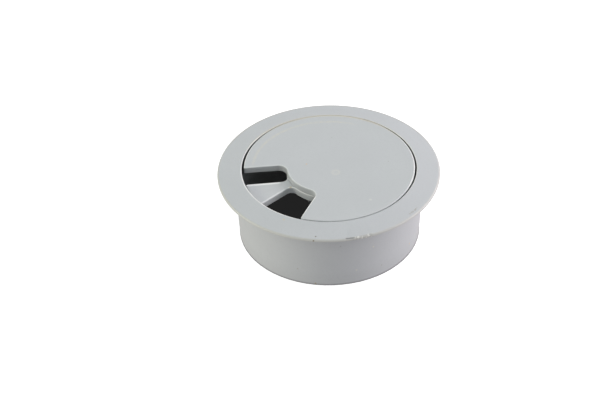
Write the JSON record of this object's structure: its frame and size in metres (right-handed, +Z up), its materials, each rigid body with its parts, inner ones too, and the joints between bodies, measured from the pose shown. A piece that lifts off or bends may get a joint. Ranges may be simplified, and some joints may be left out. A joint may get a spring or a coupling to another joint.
{
  "type": "desk grommet",
  "caption": "Round desk cable grommet: flanged sleeve, flush lift-off cap with a wedge-shaped cable notch, and a rotary shutter under the cap that sets the notch's opening.",
  "frame": {"origin": "on the sleeve's axis, at its bottom rim, which is the lowest point", "axes": "+Z up along the axis, out of the desktop; the cap's cable notch opens towards -Y"},
  "size_m": [0.07, 0.07, 0.0242],
  "materials": {
    "sleeve_plastic": "moulded light grey, fine satin",
    "cap_plastic": "moulded light grey, fine spark-eroded grain",
    "shutter_plastic": "moulded light grey, fine satin",
    "pivot_steel": "zinc plated"
  },
  "bodies": {
    "sleeve": {"outer_sleeve": "sleeve_plastic"},
    "cap": {"cap": "cap_plastic", "pivot_washer": "pivot_steel", "pivot_screw": "pivot_steel"},
    "shutter": {"rotary_shutter": "shutter_plastic"}
  },
  "joints": [
    {"name": "cap_lift", "type": "slide", "parent": "sleeve", "child": "cap", "axis": [0, 0, 1], "range_m": [0, 0.02]},
    {"name": "shutter_turn", "type": "hinge", "parent": "cap", "child": "shutter", "pos_m": [0, 0, 0.02075], "axis": [0, 0, 1], "continuous": true}
  ]
}
